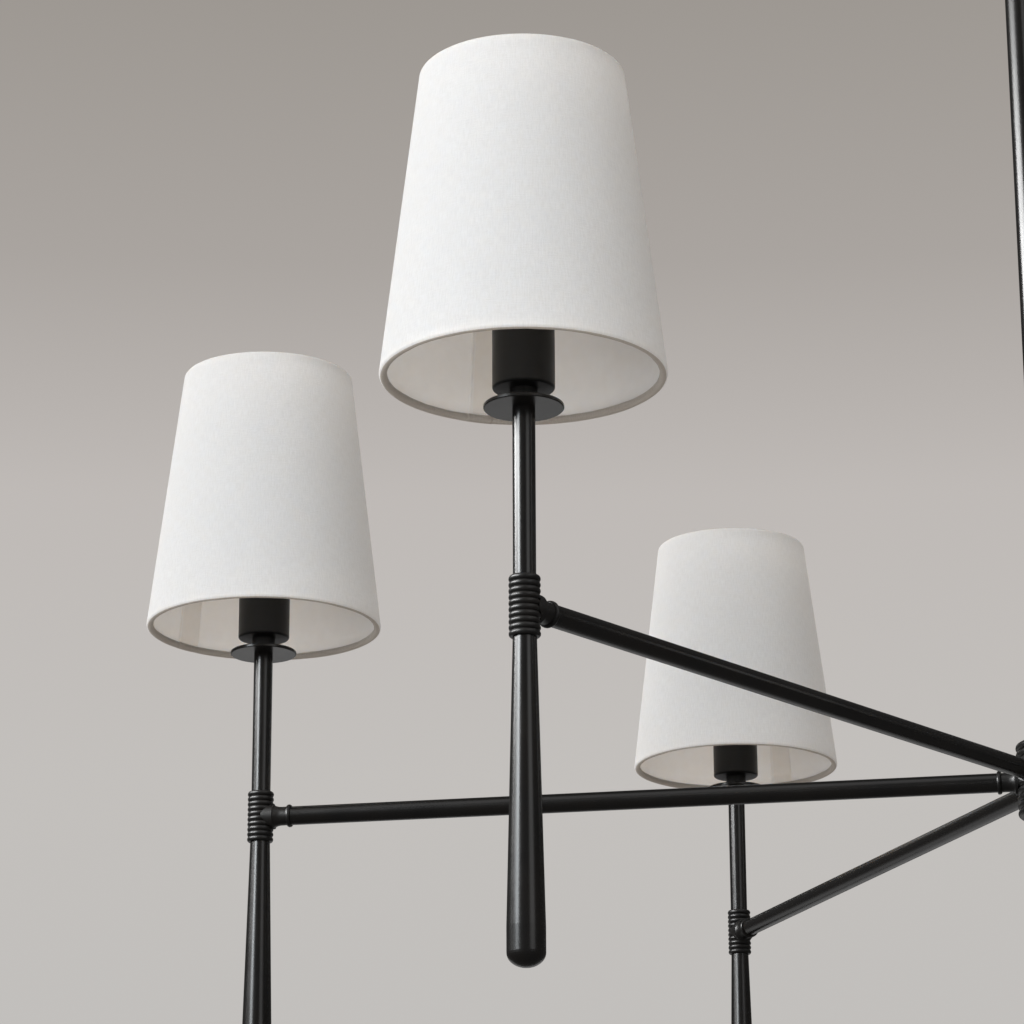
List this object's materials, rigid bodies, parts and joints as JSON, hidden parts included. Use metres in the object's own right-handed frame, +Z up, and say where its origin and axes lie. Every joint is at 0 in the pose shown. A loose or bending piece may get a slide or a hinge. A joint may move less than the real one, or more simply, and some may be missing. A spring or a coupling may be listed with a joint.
{
  "type": "chandelier",
  "caption": "Black metal chandelier with straight radial arms, upright lamps with tapered linen shades, ribbed collars and turned batons, hung from a swivel.",
  "frame": {"origin": "on the ceiling, at the middle of the mounting strap's upper face", "axes": "+Z up along the hanging rod, out of the ceiling face; +X along the first arm and the strap"},
  "size_m": [1.068, 0.9436, 0.8299],
  "materials": {
    "black_bronze": "satin black bronze",
    "black_plastic": "matte",
    "linen": "fine linen weave",
    "white_wire": "white coated wire",
    "zinc_steel": "zinc plated",
    "bulb_metal": "bright",
    "opal_glass": "opal",
    "white_plastic": "matte",
    "wire_cover": "sleeved"
  },
  "bodies": {
    "ceiling_mount": {"mounting_strap": "zinc_steel", "nipple": "zinc_steel", "canopy": "black_bronze", "lock_ring": "black_bronze"},
    "swivel": {"swivel_head": "black_bronze", "swivel_pins": "zinc_steel"},
    "hanger": {"swivel_knuckle": "black_bronze", "downrod": "black_bronze", "hub": "black_bronze", "hub_baton": "black_bronze", "terminal_block": "white_plastic", "arm_bells": "black_bronze", "drip_discs": "black_bronze", "shade_ring_nuts": "black_plastic", "bulb_caps": "bulb_metal", "bulb_glass": "opal_glass", "wires": "wire_cover", "arm_1": "black_bronze", "arm_2": "black_bronze", "arm_3": "black_bronze", "arm_4": "black_bronze", "arm_5": "black_bronze", "arm_6": "black_bronze", "collar_1": "black_bronze", "collar_2": "black_bronze", "collar_3": "black_bronze", "collar_4": "black_bronze", "collar_5": "black_bronze", "collar_6": "black_bronze", "stem_1": "black_bronze", "stem_2": "black_bronze", "stem_3": "black_bronze", "stem_4": "black_bronze", "stem_5": "black_bronze", "stem_6": "black_bronze", "baton_1": "black_bronze", "baton_2": "black_bronze", "baton_3": "black_bronze", "baton_4": "black_bronze", "baton_5": "black_bronze", "baton_6": "black_bronze", "socket_1": "black_plastic", "socket_2": "black_plastic", "socket_3": "black_plastic", "socket_4": "black_plastic", "socket_5": "black_plastic", "socket_6": "black_plastic"},
    "lampshade_1": {"shade_1": "linen", "shade_frame_1": "white_wire"},
    "lampshade_2": {"shade_2": "linen", "shade_frame_2": "white_wire"},
    "lampshade_3": {"shade_3": "linen", "shade_frame_3": "white_wire"},
    "lampshade_4": {"shade_4": "linen", "shade_frame_4": "white_wire"},
    "lampshade_5": {"shade_5": "linen", "shade_frame_5": "white_wire"},
    "lampshade_6": {"shade_6": "linen", "shade_frame_6": "white_wire"}
  },
  "joints": [
    {"name": "swivel_turn", "type": "hinge", "parent": "ceiling_mount", "child": "swivel", "pos_m": [0, 0, -0.052], "axis": [0, 0, 1], "range_deg": [-170, 170]},
    {"name": "hang_tilt", "type": "hinge", "parent": "swivel", "child": "hanger", "pos_m": [0, 0, -0.052], "axis": [1, 0, 0], "range_deg": [-30, 30]},
    {"name": "shade_turn_1", "type": "hinge", "parent": "hanger", "child": "lampshade_1", "pos_m": [0.464, 0, -0.5256], "axis": [0, 0, 1], "continuous": true},
    {"name": "shade_turn_2", "type": "hinge", "parent": "hanger", "child": "lampshade_2", "pos_m": [0.232, 0.40184, -0.5256], "axis": [0, 0, 1], "continuous": true},
    {"name": "shade_turn_3", "type": "hinge", "parent": "hanger", "child": "lampshade_3", "pos_m": [-0.232, 0.40184, -0.5256], "axis": [0, 0, 1], "continuous": true},
    {"name": "shade_turn_4", "type": "hinge", "parent": "hanger", "child": "lampshade_4", "pos_m": [-0.464, 0, -0.5256], "axis": [0, 0, 1], "continuous": true},
    {"name": "shade_turn_5", "type": "hinge", "parent": "hanger", "child": "lampshade_5", "pos_m": [-0.232, -0.40184, -0.5256], "axis": [0, 0, 1], "continuous": true},
    {"name": "shade_turn_6", "type": "hinge", "parent": "hanger", "child": "lampshade_6", "pos_m": [0.232, -0.40184, -0.5256], "axis": [0, 0, 1], "continuous": true}
  ]
}
